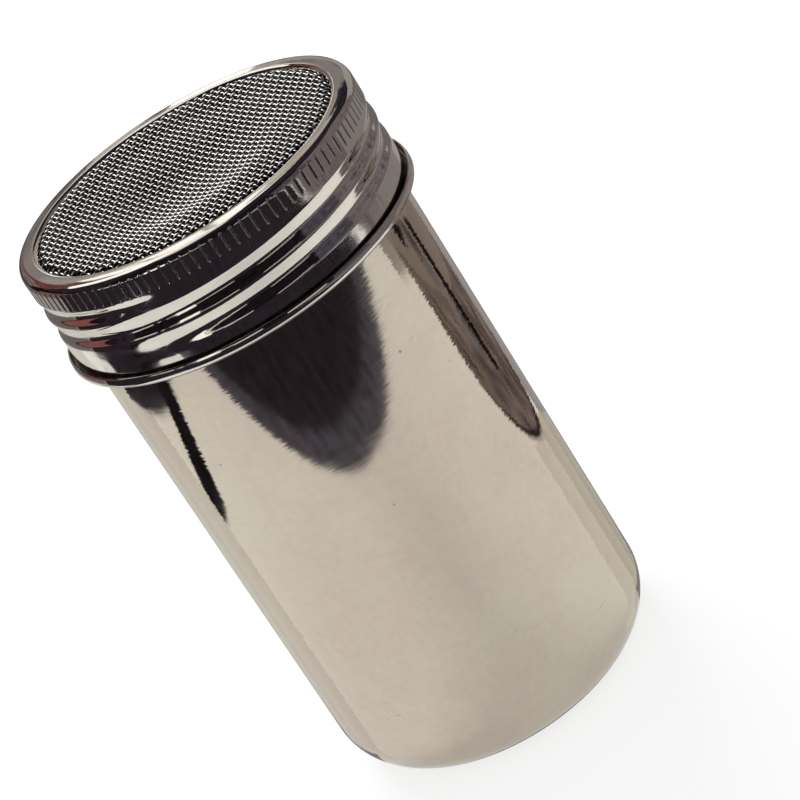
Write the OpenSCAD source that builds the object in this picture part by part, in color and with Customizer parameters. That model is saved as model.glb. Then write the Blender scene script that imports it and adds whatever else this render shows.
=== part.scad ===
// Steel shaker can with a screw lid that holds a woven wire sieve.
// Units are millimetres. The can stands on z = 0 with its axis on Z.

/* [Can] */
// Outside diameter of the can wall
can_d = 66; // [56:0.5:80]
// Height of the can from the standing ring to the rim of its neck
can_h = 121.3; // [95:0.1:160]
// Thickness of the can's sheet
can_sheet = 0.5; // [0.4:0.05:0.7]
// Outside radius where the wall turns into the base
base_round_r = 11; // [6:0.5:14]
// Width of the flat ring the can stands on
foot_w = 1.6; // [1:0.1:3]
// How far the middle of the base is pressed up
base_rise = 0.9; // [0.5:0.1:2]

/* [Thread] */
// Rise of the thread in one full turn
thread_lead = 9.6; // [8:0.2:12]
// Number of thread starts
thread_starts = 2; // [1:1:3]
// How far the rolled ridges stand out of the neck
neck_ridge_h = 1.35; // [1.1:0.05:1.6]
// Radial gap between the neck's ridges and the lid's wall
thread_gap = 0.3; // [0.25:0.05:0.4]
// How deep the grooves are rolled into the lid
lid_groove_h = 0.65; // [0.5:0.05:0.75]
// From the rim of the neck down to the highest groove centre
lid_groove_top = 3.6; // [3.4:0.1:4.4]
// Height over which the helix of groove centres runs
lid_groove_span = 9.6; // [8.6:0.1:10]
// From the rim of the neck down to the ridge centre on the +X side
ridge_side_drop = 7; // [5:0.1:9.8]
// From the rim of the neck down to the highest ridge centre
neck_ridge_top = 5.4; // [5:0.1:6.4]
// Height over which the helix of ridge centres runs
neck_ridge_span = 6.4; // [5.4:0.1:6.8]
// Plain wall above the rolled stretch of the neck
neck_plain_h = 2.4; // [2.2:0.1:3]
// Plain wall of the lid from the rim of the neck down to its rolled stretch
lid_plain_h = 2.2; // [2:0.1:2.8]
// Plain skirt between the lid's rolled stretch and the hem
skirt_plain_h = 0.9; // [0.7:0.1:1.4]

/* [Lid] */
// Height of the lid from its hem to its flange
lid_h = 21.8; // [20.8:0.1:26]
// Thickness of the lid's sheet
lid_sheet = 0.45; // [0.35:0.05:0.6]
// Outside radius between the flange and the knurled band
lid_round_r = 1.6; // [1:0.1:2]
// Width of the flange, from the lid's wall to the opening that shows the sieve
flange_w = 4.4; // [3.8:0.1:12]
// Inside radius of the flange's turned-down edge
lip_round_r = 0.5; // [0.3:0.05:0.7]
// How far the inner edge of the flange is turned down
lip_drop = 1.08; // [0.9:0.02:1.4]
// Inside gap of the curled hem
hem_gap = 0.8; // [0.5:0.05:0.9]
// Height of the curled hem
hem_h = 2.2; // [1.8:0.1:2.8]
// Radius to which the outer side of the hem leans in
hem_lean_r = 4; // [3:0.5:8]

/* [Knurl] */
// Number of pressed notches round the lid
knurl_count = 108; // [60:2:120]
// Width of a notch
knurl_w = 0.5; // [0.3:0.05:0.8]
// Depth of a notch
knurl_depth = 0.2; // [0.1:0.02:0.24]
// Height of the notched band below the flange
knurl_h = 4.9; // [3:0.1:5]

/* [Sieve] */
// Diameter of the wires
wire_d = 0.36; // [0.24:0.02:0.44]
// Spacing of the wires, middle to middle
wire_pitch = 1.25; // [1.1:0.05:2.5]
// How far the middle of the sieve bulges above its edge at the opening
sieve_rise = 1.5; // [0.8:0.1:2.4]
// Direction across the upper wires, counted from +X
weave_angle = 22; // [0:1:90]
// Gap between wires that cross, and between the wires and what holds them
weave_gap = 0.05; // [0.04:0.01:0.1]

/* [Retaining ring] */
// Thickness of the ring's sheet
ring_sheet = 0.5; // [0.4:0.05:0.7]
// Height of the ring with its turned-down edge
ring_h = 2.2; // [1.6:0.1:2.4]
// Outside radius between the ring's flat and its turned-down edge
ring_corner_r = 0.8; // [0.7:0.05:1]
// How far the ring's inner edge stays back from the edge of the opening
ring_inset = 0.3; // [0:0.1:1]
// Gap between the ring and the lid's wall
ring_side_gap = 0.15; // [0.1:0.05:0.3]
// Gap between the ring and the rim of the neck
ring_seat_gap = 0.15; // [0.1:0.05:0.3]

/* [Hidden] */
$fn = 96;

// The can
can_r = can_d / 2;
foot_out_r = can_r - base_round_r;
foot_in_r = foot_out_r - foot_w;
base_step_w = 1.2;

// The lid's wall clears the neck's ridges by the thread gap
thread_pitch = thread_lead / thread_starts;
lid_in_r = can_r + neck_ridge_h + thread_gap;
lid_r = lid_in_r + lid_sheet;
opening_r = lid_r - flange_w;

// The stack above the neck: ring, weft wires, warp wires, turned-down lip, flange
ring_top_z = can_h + ring_seat_gap + ring_sheet;
ring_out_r = lid_in_r - ring_side_gap;
ring_in_r = opening_r + ring_inset;
wire_end_r = ring_out_r - ring_corner_r;
lip_in_r = opening_r + lid_sheet / 2;
sieve_r = (lip_in_r * lip_in_r + sieve_rise * sieve_rise) / (2 * sieve_rise);
layer_step = wire_d + weave_gap;
weft_end_z = ring_top_z + weave_gap + wire_d / 2;
sieve_centre_z = weft_end_z - sqrt(sieve_r * sieve_r - wire_end_r * wire_end_r);
warp_r = sieve_r + layer_step;
lip_z = sieve_centre_z + sqrt(warp_r * warp_r - lip_in_r * lip_in_r) + wire_d / 2 + weave_gap;
lid_top_z = lip_z + lip_drop;
hem_z = lid_top_z - lid_h;

// The thread's helices, as heights of the ridge and groove centres where the angle is 0
groove_hi_z = can_h - lid_groove_top;
groove_lo_z = groove_hi_z - lid_groove_span;
ridge_start_z = can_h - ridge_side_drop;
run_out = 0.8;
ridge_hi_z = can_h - neck_ridge_top;
ridge_lo_z = ridge_hi_z - neck_ridge_span;

// Rolled stretches of the two walls, and how far their ends sit inside the plain walls
rolled_sides = 64;
rolled_row = 0.74;
rolled_inset = 0.06;
rolled_bury = 0.5;
rolled_fade = 1.2;
lid_rolled = [hem_z + hem_h + skirt_plain_h, can_h - lid_plain_h];
neck_rolled = [ridge_lo_z - thread_pitch / 2, can_h - neck_plain_h];

// How far a cutter reaches past the wall it cuts
cutter_reach = 1;

// Profiles: points of an arc, a path moved sideways, and a sheet that follows a path
function arc(x, z, r, from, to, steps = 8) =
    [for (i = [0:steps]) let (a = from + (to - from) * i / steps) [x + r * cos(a), z + r * sin(a)]];

function side_of(a, b) = [a.y - b.y, b.x - a.x] / norm(b - a);

function side_step(path, i, d) =
    let (last = len(path) - 1,
         before = side_of(path[max(i - 1, 0)], path[max(i, 1)]),
         after = side_of(path[min(i, last - 1)], path[min(i + 1, last)]))
    path[i] + d * (before + after) / (1 + before * after);

function moved(path, d) = [for (i = [0:len(path) - 1]) side_step(path, i, d)];

function reversed(path) = [for (i = [len(path) - 1:-1:0]) path[i]];

module turned_sheet(path, sheet) {
    rotate_extrude() polygon(concat(moved(path, sheet / 2), reversed(moved(path, -sheet / 2))));
}

// 0 below from, 1 above to, smooth between
function ease(x, from, to) = let (t = min(max((x - from) / (to - from), 0), 1)) t * t * (3 - 2 * t);

// Height, above or below z, of the nearest centre of a helix whose centre is start where the angle is 0
function nearest_turn(z, a, start) =
    let (first = start + thread_lead * a / 360) first + thread_pitch * round((z - first) / thread_pitch);

// A rounded rib or groove along the helix: 1 on its centre, 0 half a pitch away, fading at both ends
function helix_wave(z, a, start, lo, hi) =
    let (c = nearest_turn(z, a, start))
    (1 + cos(360 * (z - c) / thread_pitch)) / 2 * ease(c, lo, lo + 2 * run_out) * (1 - ease(c, hi, hi + run_out));

function groove_wave(z, a) = helix_wave(z, a, ridge_start_z + thread_pitch / 2, groove_lo_z, groove_hi_z);

function ridge_wave(z, a) = helix_wave(z, a, ridge_start_z, ridge_lo_z, ridge_hi_z);

// 1 in the middle of a rolled stretch, 0 at its two ends
function held_ends(z, span) =
    ease(z, span[0], span[0] + rolled_fade) * (1 - ease(z, span[1] - rolled_fade, span[1]));

// A thin tube whose outer and inner radius are functions of height and angle
module rolled_tube(span, outer, inner) {
    rows = ceil((span[1] - span[0]) / rolled_row);
    heights = concat(span[0] - rolled_bury, [for (j = [0:rows]) span[0] + (span[1] - span[0]) * j / rows],
                     span[1] + rolled_bury);
    n = rolled_sides;
    m = len(heights);
    function ring_points(radius) = [for (z = heights) for (i = [0:n - 1])
        let (a = 360 * i / n, r = radius(z, a)) [r * cos(a), r * sin(a), z]];
    // Corner i of row j on the outer (k = 0) or inner (k = 1) skin
    function at(i, j, k) = k * n * m + j * n + i % n;
    skins = [for (j = [0:m - 2]) for (i = [0:n - 1]) each [
        [at(i, j, 0), at(i, j + 1, 0), at(i + 1, j, 0)],
        [at(i + 1, j, 0), at(i, j + 1, 0), at(i + 1, j + 1, 0)],
        [at(i, j, 1), at(i + 1, j, 1), at(i, j + 1, 1)],
        [at(i + 1, j, 1), at(i + 1, j + 1, 1), at(i, j + 1, 1)]]];
    ends = [for (i = [0:n - 1]) each [
        [at(i, 0, 0), at(i + 1, 0, 0), at(i + 1, 0, 1), at(i, 0, 1)],
        [at(i, m - 1, 0), at(i, m - 1, 1), at(i + 1, m - 1, 1), at(i + 1, m - 1, 0)]]];
    polyhedron(points = concat(ring_points(outer), ring_points(inner)), faces = concat(skins, ends));
}

// Drawn can: pressed base, rounded corner, straight wall, neck with rolled ridges, plain rim
module body_can() {
    mid = can_sheet / 2;
    corner_r = base_round_r - mid;
    base_path = concat(
        [[0, base_rise + mid], [foot_in_r - base_step_w, base_rise + mid]],
        [[foot_in_r, mid]],
        arc(foot_out_r, base_round_r, corner_r, -90, 0, 12),
        [[can_r - mid, neck_rolled[0]]]);
    rim_path = [[can_r - mid, neck_rolled[1]], [can_r - mid, can_h]];
    color("#b9b0a4") {
        turned_sheet(base_path, can_sheet);
        rolled_tube(neck_rolled,
            function(z, a) can_r - rolled_inset + neck_ridge_h * ridge_wave(z, a) * held_ends(z, neck_rolled),
            function(z, a) can_r - can_sheet + 2 * rolled_inset
                + neck_ridge_h * ridge_wave(z, a) * held_ends(z, neck_rolled));
        turned_sheet(rim_path, can_sheet);
    }
}

// Pressed lid: turned-down lip, flange, knurled band, rolled grooves, skirt, curled hem
module lid_shell() {
    mid = lid_sheet / 2;
    top_path = concat(
        [[lip_in_r, lip_z]],
        arc(lip_in_r + lip_round_r, lid_top_z - mid - lip_round_r, lip_round_r, 180, 90, 5),
        arc(lid_r - lid_round_r, lid_top_z - lid_round_r, lid_round_r - mid, 90, 0, 8),
        [[lid_r - mid, lid_rolled[1]]]);
    curl_r = (hem_gap + lid_sheet) / 2;
    curl_x = lid_r - mid + curl_r;
    curl_z = hem_z + mid + curl_r;
    lean_a = asin((hem_z + hem_h - curl_z) / hem_lean_r);
    hem_path = concat(
        [[lid_r - mid, lid_rolled[0]]],
        arc(curl_x, curl_z, curl_r, 180, 360, 10),
        arc(curl_x + curl_r - hem_lean_r, curl_z, hem_lean_r, lean_a / 4, lean_a, 3));
    color("#8f8a86") difference() {
        union() {
            turned_sheet(top_path, lid_sheet);
            rolled_tube(lid_rolled,
                function(z, a) lid_r - rolled_inset
                    - lid_groove_h * groove_wave(z, a) * held_ends(z, lid_rolled),
                function(z, a) lid_in_r + 2 * rolled_inset
                    - lid_groove_h * groove_wave(z, a) * held_ends(z, lid_rolled));
            turned_sheet(hem_path, lid_sheet);
        }
        for (i = [0:knurl_count - 1]) rotate(360 * i / knurl_count)
            translate([lid_r - knurl_depth, -knurl_w / 2, lid_top_z - knurl_h])
                cube([knurl_depth + cutter_reach, knurl_w, knurl_h]);
    }
}

// One layer of parallel wires, each an arc that lies on a sphere of the given radius
module wire_layer(sphere_r) {
    last = floor((wire_end_r - wire_d) / wire_pitch);
    for (i = [-last:last]) {
        across = i * wire_pitch;
        bend_r = sqrt(sphere_r * sphere_r - across * across);
        half_length = sqrt(wire_end_r * wire_end_r - across * across);
        half_angle = asin(half_length / bend_r);
        translate([across, 0, sieve_centre_z]) rotate([0, -90, 0]) rotate(-half_angle)
            rotate_extrude(angle = 2 * half_angle, $fn = 240)
                translate([bend_r, 0]) circle(d = wire_d, $fn = 16);
    }
}

// Upper wires of the sieve
module screen_warp_wires() {
    color("#d8d6d2") rotate(weave_angle) wire_layer(warp_r);
}

// Lower wires of the sieve, across the upper ones
module screen_weft_wires() {
    color("#a9a7a4") rotate(weave_angle + 90) wire_layer(sieve_r);
}

// Pressed ring that holds the margin of the sieve up against the lid's lip
module retaining_ring() {
    mid = ring_sheet / 2;
    path = concat(
        [[ring_in_r, ring_top_z - mid]],
        arc(ring_out_r - ring_corner_r, ring_top_z - ring_corner_r, ring_corner_r - mid, 90, 0, 5),
        [[ring_out_r - mid, ring_top_z - ring_h]]);
    color("#9c9791") turned_sheet(path, ring_sheet);
}

body_can();
lid_shell();
screen_warp_wires();
screen_weft_wires();
retaining_ring();
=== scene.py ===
"""A steel shaker can with a screw lid and a woven wire sieve, built as add-on operators on its frame."""

import math

import bpy
import numpy as np
from bpy.props import FloatProperty, FloatVectorProperty, IntProperty, PointerProperty
from bpy.types import Operator, Panel, PropertyGroup
from mathutils import Matrix, Vector


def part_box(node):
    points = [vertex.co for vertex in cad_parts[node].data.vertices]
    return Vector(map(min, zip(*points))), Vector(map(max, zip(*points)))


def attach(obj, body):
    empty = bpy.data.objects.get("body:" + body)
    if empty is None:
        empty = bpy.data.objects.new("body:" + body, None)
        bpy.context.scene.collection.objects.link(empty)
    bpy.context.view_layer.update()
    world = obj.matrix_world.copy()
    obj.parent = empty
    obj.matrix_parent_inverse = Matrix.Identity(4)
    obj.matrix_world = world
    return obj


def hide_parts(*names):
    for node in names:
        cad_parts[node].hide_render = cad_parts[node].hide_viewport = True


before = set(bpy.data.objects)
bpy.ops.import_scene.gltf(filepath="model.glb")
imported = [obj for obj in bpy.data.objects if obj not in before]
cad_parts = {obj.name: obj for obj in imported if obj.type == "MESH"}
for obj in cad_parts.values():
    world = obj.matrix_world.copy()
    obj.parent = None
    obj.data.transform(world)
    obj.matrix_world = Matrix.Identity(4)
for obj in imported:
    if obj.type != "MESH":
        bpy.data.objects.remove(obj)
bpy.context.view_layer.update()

bl_info = {
    "name": "Shaker can",
    "version": (1, 0, 0),
    "blender": (4, 5, 0),
    "location": "View3D > Sidebar > Shaker",
    "description": "Builds a steel shaker can, its screw lid, its woven sieve and a small studio",
    "category": "Add Mesh",
}

MM = 0.001
IMAGE_SIDE = 800
CAN_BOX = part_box("body_can")
LID_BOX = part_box("lid_shell")


# ---------------------------------------------------------------- sizes and colours


def length(name, description, default_mm):
    """A property that holds a length, given in millimetres and kept in metres."""
    return FloatProperty(
        name=name, description=description, default=default_mm * MM, unit="LENGTH", precision=5)


def shade(name, description, default):
    """A property that holds a linear colour."""
    return FloatVectorProperty(
        name=name, description=description, default=default, size=3, subtype="COLOR", min=0.0, max=1.0)


def share(name, description, default):
    """A property that holds a number from 0 to 1."""
    return FloatProperty(
        name=name, description=description, default=default, min=0.0, max=1.0, subtype="FACTOR")


def angle(name, description, degrees):
    """A property that holds an angle, given in degrees and kept in radians."""
    return FloatProperty(name=name, description=description, default=math.radians(degrees), subtype="ANGLE")


class CanSizes(PropertyGroup):
    """Sizes of the drawn can."""

    radius: length("Radius", "Outside radius of the wall", 33)
    sheet: length("Sheet", "Thickness of the sheet", 0.5)
    base_round: length("Base round", "Outside radius where the wall turns into the base", 11)
    foot_width: length("Foot width", "Width of the flat ring that the can stands on", 1.6)
    base_rise: length("Base rise", "How far the middle of the base is pressed up", 0.9)
    base_step: length("Base step", "Width of the slope between the foot and the raised base", 1.2)


class ThreadSizes(PropertyGroup):
    """Sizes of the rolled thread, shared by the can's neck and the lid."""

    lead: length("Lead", "Rise of the thread in one turn", 9.6)
    starts: IntProperty(name="Starts", description="Number of thread starts", default=2, min=1)
    ridge: length("Neck ridge", "How far the ridges stand out of the neck", 1.35)
    groove: length("Lid groove", "How deep the grooves are rolled into the lid", 0.65)
    groove_top: length("Groove top", "From the rim of the neck down to the highest groove centre", 3.6)
    groove_span: length("Groove span", "Height over which the groove centres run", 9.6)
    side_drop: length("Side drop", "From the rim of the neck down to the ridge centre on the +X side", 7)
    ridge_top: length("Ridge top", "From the rim of the neck down to the highest ridge centre", 5.4)
    ridge_span: length("Ridge span", "Height over which the ridge centres run", 6.4)
    run_out: length("Run-out", "Height over which the ends of the thread fade", 0.8)
    fade: length("Fade", "Height over which a rolled stretch fades into the plain wall", 1.2)
    neck_plain: length("Neck plain", "Plain wall above the rolled stretch of the neck", 2.4)
    lid_plain: length("Lid plain", "From the rim of the neck down to the lid's rolled stretch", 2.2)
    skirt_plain: length("Skirt plain", "Plain skirt between the lid's rolled stretch and the hem", 0.9)


class LidSizes(PropertyGroup):
    """Sizes of the pressed lid."""

    radius: length("Radius", "Outside radius of the wall", 35.1)
    sheet: length("Sheet", "Thickness of the sheet", 0.45)
    flange: length("Flange", "Width of the flange, from the wall to the opening", 4.4)
    edge_round: length("Edge round", "Outside radius between the flange and the wall", 1.6)
    lip_round: length("Lip round", "Inside radius of the flange's turned-down edge", 0.5)
    lip_drop: length("Lip drop", "How far the inner edge of the flange is turned down", 1.08)
    flange_slope: angle("Flange slope", "Slope of the crowned flange where its outer edge turns down", 6.8)
    hem_gap: length("Hem gap", "Inside gap of the curled hem", 0.8)
    hem_height: length("Hem height", "Height of the curled hem", 2.2)
    hem_lean: length("Hem lean", "Radius to which the outer side of the hem leans in", 4)
    knurl_count: IntProperty(name="Notches", description="Number of pressed notches", default=108, min=8)
    knurl_width: length("Notch width", "Width of a notch at the surface", 0.44)
    knurl_depth: length("Notch depth", "Depth of a notch", 0.2)
    knurl_height: length("Notch height", "Height of the notched band below the flange", 4.9)


class SieveSizes(PropertyGroup):
    """Sizes of the woven sieve."""

    wire: length("Wire", "Diameter of the wires", 0.36)
    pitch: length("Pitch", "Spacing of the wires, middle to middle", 1.25)
    reach: length("Reach", "Radius at which the wires end", 33.7)
    weave: angle("Weave angle", "Direction across the upper wires, counted from +X", 22)
    upper_crimp: length("Upper crimp", "How far the upper wires swing from the middle of the cloth", 0.16)
    lower_crimp: length("Lower crimp", "How far the lower wires swing from the middle of the cloth", 0.2)
    level: length("Level", "Height of the cloth where it lies flat", 123.43)
    edge: length("Edge", "Height of the cloth under the lip", 122.5)
    dish: length("Dish", "How far use has pushed the middle down", 1.8)
    crest: length("Crest", "How far the near side stands up", 0.72)
    collar: length("Collar", "How far the cloth rises before its shoulder on the far side", 0.6)


class SteelFinish(PropertyGroup):
    """Colours and polish of the steels."""

    can_colour: shade("Can colour", "Colour of the satin can", (0.572, 0.515, 0.415))
    can_roughness: share("Can roughness", "Roughness of the satin can", 0.055)
    can_grain: share("Can grain", "How much sharper the can shines along its brushing than across it", 0.45)
    can_waver: share("Can waver", "How far the brushing turns the can's shine sideways, in radians", 0.09)
    lid_colour: shade("Lid colour", "Colour of the polished lid", (0.70, 0.65, 0.575))
    lid_roughness: share("Lid roughness", "Roughness of the polished lid", 0.06)
    ring_wear: share("Ring wear", "How much rougher the retaining ring is than the lid", 0.12)
    wire_colour: shade("Wire colour", "Colour of the sieve's wires", (0.90, 0.87, 0.83))
    wire_roughness: share("Wire roughness", "Roughness of the sieve's wires", 0.2)
    # Near black: dust together with painted shade on the wires' slopes and dips
    dust_and_shade_colour: shade("Dust colour", "Colour of the dust in the weave's low bends", (0.010, 0.009, 0.009))
    # This colour is the dirt of the can's specks and scratches, and also the painted shade of the lid's
    # notches and hem
    grime_and_shade_colour: shade("Grime colour", "Colour of what settles in notches and folds", (0.055, 0.048, 0.045))


class StudioSetup(PropertyGroup):
    """Camera, floor and light."""

    tilt: angle("Camera tilt", "How far the camera looks down", 24.6)
    roll: angle("Camera roll", "How far the camera is rolled", -32.55)
    distance: length("Distance", "From the camera to the middle of the can's base, along the view", 699.3)
    lens: FloatProperty(name="Lens", description="Focal length", default=161.6, subtype="DISTANCE_CAMERA")
    base_pixel: FloatVectorProperty(
        name="Base pixel", description="Where the middle of the can's base lies in the image",
        default=(509.3, 673.8), size=2)
    floor_colour: shade("Floor colour", "Colour of the floor and the background", (0.95, 0.95, 0.95))
    light: FloatProperty(name="Light", description="Level of the overhead light", default=1.0, min=0.0)
    table_depth: length("Table depth", "From the can's axis to the front edge of the pale table", 184)


GROUPS = {
    "shaker_can": CanSizes,
    "shaker_thread": ThreadSizes,
    "shaker_lid": LidSizes,
    "shaker_sieve": SieveSizes,
    "shaker_finish": SteelFinish,
    "shaker_studio": StudioSetup,
}


# ---------------------------------------------------------------- shader expressions


class Term:
    """A socket that adds up like a number: each operator adds a Math node."""

    def __init__(self, finish, socket):
        self.finish = finish
        self.socket = socket

    def math(self, operation, *values):
        return self.finish.node("ShaderNodeMath", {"operation": operation}, dict(enumerate(values)))[0]

    def __add__(self, other):
        return self.math("ADD", self, other)

    def __radd__(self, other):
        return self.math("ADD", other, self)

    def __sub__(self, other):
        return self.math("SUBTRACT", self, other)

    def __rsub__(self, other):
        return self.math("SUBTRACT", other, self)

    def __mul__(self, other):
        return self.math("MULTIPLY", self, other)

    def __rmul__(self, other):
        return self.math("MULTIPLY", other, self)

    def maximum(self, other):
        return self.math("MAXIMUM", self, other)

    def minimum(self, other):
        return self.math("MINIMUM", self, other)

    def sqrt(self):
        return self.math("SQRT", self)

    def smooth(self, low, high):
        """0 below low, 1 above high, smooth between."""
        return self.finish.node(
            "ShaderNodeMapRange", {"interpolation_type": "SMOOTHSTEP"},
            {"Value": self, "From Min": low, "From Max": high, "To Min": 0.0, "To Max": 1.0})[0]


class Finish:
    """One material and its nodes."""

    def __init__(self, name, tree=None):
        if tree is None:
            self.material = bpy.data.materials.new(name)
            self.material.use_nodes = True
            tree = self.material.node_tree
        self.tree = tree
        self.tree.nodes.clear()

    def node(self, kind, settings=None, sockets=None):
        """Adds a node of any kind. Its settings come first, then the values or links of its sockets."""
        node = self.tree.nodes.new(kind)
        for key, value in (settings or {}).items():
            setattr(node, key, value)
        for key, value in (sockets or {}).items():
            if isinstance(value, Term):
                self.tree.links.new(value.socket, node.inputs[key])
            else:
                node.inputs[key].default_value = value
        return [Term(self, socket) for socket in node.outputs]

    def place(self):
        """The point being shaded, in the object's own metres."""
        return self.node("ShaderNodeTexCoord")[3]

    def split(self, vector):
        """The three numbers of a vector."""
        return self.node("ShaderNodeSeparateXYZ", sockets={"Vector": vector})

    def join(self, x, y, z):
        """A vector from three numbers."""
        return self.node("ShaderNodeCombineXYZ", sockets={"X": x, "Y": y, "Z": z})[0]

    def vector_math(self, operation, sockets):
        """A vector worked out from vectors."""
        return self.node("ShaderNodeVectorMath", {"operation": operation}, sockets)[0]

    def stretched(self, vector, scales):
        """A vector scaled by a different number in each direction."""
        return self.vector_math("MULTIPLY", {0: vector, 1: scales})

    def noise(self, vector, scale, detail=2.0, roughness=0.5, distortion=0.0):
        """Noise from 0 to 1, with its middle at 0.5."""
        sockets = {
            "Vector": vector, "Scale": scale, "Detail": detail, "Roughness": roughness,
            "Distortion": distortion}
        return self.node("ShaderNodeTexNoise", {"noise_dimensions": "3D", "normalize": True}, sockets)[0]

    def specks(self, vector, scale, size):
        """1 in small scattered specks and 0 elsewhere."""
        sockets = {"Vector": vector, "Scale": scale, "Randomness": 1.0}
        distance = self.node("ShaderNodeTexVoronoi", {"feature": "F1"}, sockets)[0]
        return 1.0 - distance.smooth(size * 0.5, size)

    def mix(self, factor, first, second):
        """A colour between two colours."""
        sockets = {0: factor, 6: rgba(first), 7: rgba(second)}
        return self.node("ShaderNodeMix", {"data_type": "RGBA"}, sockets)[2]

    def rays(self):
        """1 for the camera's rays, for mirrored rays and for rays through glass, and 0 for other rays."""
        path = self.node("ShaderNodeLightPath")
        return path[0], path[3], path[6]

    def painted(self, name):
        """A number painted on the mesh's points."""
        return self.node("ShaderNodeAttribute", {"attribute_name": name})[2]

    def bump(self, height, depth):
        """A normal that follows a height, where depth is how deep a height of 1 is in metres."""
        sockets = {"Height": height, "Strength": 1.0, "Distance": depth}
        return self.node("ShaderNodeBump", sockets=sockets)[0]

    def turned(self, normal, sideways):
        """A normal turned round the axis a little, by an angle in radians."""
        tangent = self.node("ShaderNodeTangent", {"direction_type": "RADIAL", "axis": "Z"})[0]
        shift = self.vector_math("SCALE", {0: tangent, "Scale": sideways})
        return self.vector_math("NORMALIZE", {0: self.vector_math("ADD", {0: normal, 1: shift})})

    def steel(self, colour, roughness, normal, grain=0.0, dust_and_shade=None, dust_and_shade_colour=None):
        """Ends the material in bare metal, matt where the dust and painted shade reach 1. grain stretches
        the shine.
        """
        surface = self.node("ShaderNodeBsdfPrincipled", sockets={
            "Base Color": rgba(colour), "Metallic": 1.0, "Roughness": roughness, "Normal": normal,
            "Anisotropic": grain, "Anisotropic Rotation": 0.25})[0]
        if dust_and_shade is not None:
            sockets = {"Color": rgba(dust_and_shade_colour), "Normal": normal}
            matt = self.node("ShaderNodeBsdfDiffuse", sockets=sockets)[0]
            surface = self.node("ShaderNodeMixShader", sockets={0: dust_and_shade, 1: surface, 2: matt})[0]
        self.node("ShaderNodeOutputMaterial", sockets={"Surface": surface})
        return self.material


def rgba(colour):
    """A colour with its alpha, or a linked colour as it is."""
    return colour if isinstance(colour, Term) else (*tuple(colour)[:3], 1.0)


BRUSHING_DEPTH = 0.0012 * MM
LID_WAVE_DEPTH = 0.07 * MM
DRAW_MARK_DEPTH = 0.004 * MM


def satin_steel(name, finish):
    """Satin can steel: brushed round the axis, with faint clouds, specks and a few scratches."""
    f = Finish(name)
    point = f.place()
    x, y, z = f.split(point)
    wrapped = f.join(x, y, z + (x * x + y * y).sqrt())
    grain = f.noise(f.stretched(wrapped, (60, 60, 5200)), 1.0, detail=3.0, roughness=0.6)
    long_grain = f.noise(f.stretched(wrapped, (22, 22, 900)), 1.0, detail=2.0)
    brushing = f.noise(f.stretched(wrapped, (330, 330, 3400)), 1.0, detail=3.0, roughness=0.6)
    cloud = f.noise(point, 55.0, detail=3.0)
    patch = f.noise(point, 27.0, detail=5.0, roughness=0.62)
    mottle = f.noise(point, 620.0, detail=4.0, roughness=0.7)
    speck = f.specks(point, 260.0, 0.10) * f.noise(point, 140.0).smooth(0.60, 0.68)
    scratch_band = f.noise(f.stretched(point, (300, 300, 4000)), 1.0, detail=1.0, distortion=0.4)
    scratch = scratch_band.smooth(0.70, 0.76) * cloud.smooth(0.5, 0.6)
    red, green, blue = finish.can_colour
    light = red * 1.02, green * 1.05, blue * 1.04
    dark = red * 0.93, green * 0.86, blue * 0.91
    blend = patch.smooth(0.34, 0.66) * 0.55 + grain * 0.2 + mottle.smooth(0.3, 0.7) * 0.28
    colour = f.mix(blend, dark, light)
    colour = f.mix(speck * 0.55 + scratch * 0.2, colour, finish.grime_and_shade_colour)
    roughness = finish.can_roughness + (cloud - 0.5) * 0.05 + (long_grain - 0.5) * 0.04
    height = grain * 0.4 + long_grain * 0.5 + brushing * 0.7 - speck * 0.6 - scratch * 0.5
    brushed = f.turned(f.bump(height, BRUSHING_DEPTH), (brushing - 0.5) * finish.can_waver)
    return f.steel(colour, roughness, brushed, finish.can_grain)


def polished_steel(name, colour, roughness, grime_and_shade_colour):
    """Polished lid steel: nearly a mirror, a little wavy, smeared by hands, with painted shade in its
    notches and in the fold and underside of its hem.
    """
    f = Finish(name)
    point = f.place()
    x, y, z = f.split(point)
    wave = f.noise(point, 110.0, detail=2.0)
    dent = f.noise(point, 420.0, detail=2.0)
    smear = f.noise(f.stretched(point, (90, 90, 240)), 1.0, detail=4.0, distortion=0.8)
    wrapped = f.join(x, y, z + (x * x + y * y).sqrt())
    hairline = f.noise(f.stretched(wrapped, (80, 80, 6000)), 1.0, detail=2.0)
    grime_and_shade = f.painted("grime_and_shade")
    # Painted shade: darker and rougher where the notches, the hem's fold and the hem's underside are painted
    painted_shade = (grime_and_shade * (0.55 + dent * 0.9)).minimum(1.0)
    tone = f.mix(smear.smooth(0.35, 0.7), tuple(c * 0.93 for c in colour), colour)
    tone = f.mix(painted_shade, tone, grime_and_shade_colour)
    polish = roughness + smear.smooth(0.45, 0.75) * 0.07 + painted_shade * 0.35 + (hairline - 0.5) * 0.03
    height = wave * 0.75 + dent * 0.12 + hairline * 0.02
    return f.steel(tone, polish, f.bump(height, LID_WAVE_DEPTH))


def wire_steel(name, colour, roughness, dust_and_shade_colour):
    """Drawn wire: bright, finely marked, and matt and dark where dust and painted shade are painted."""
    f = Finish(name)
    point = f.place()
    tint = f.noise(point, 150.0, detail=2.0)
    mark = f.noise(point, 3200.0, detail=2.0)
    # Dust and painted shade: near black and matt on the wires' low bends and slopes
    dust_and_shade = (f.painted("grime_and_shade") * (0.8 + f.noise(point, 90.0, detail=3.0) * 0.3)).minimum(1.0)
    tone = f.mix(tint, tuple(c * 0.86 for c in colour), colour)
    polish = roughness + (tint - 0.5) * 0.1
    return f.steel(tone, polish, f.bump(mark, DRAW_MARK_DEPTH), 0.0, dust_and_shade, dust_and_shade_colour)


# ---------------------------------------------------------------- mesh helpers


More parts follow.
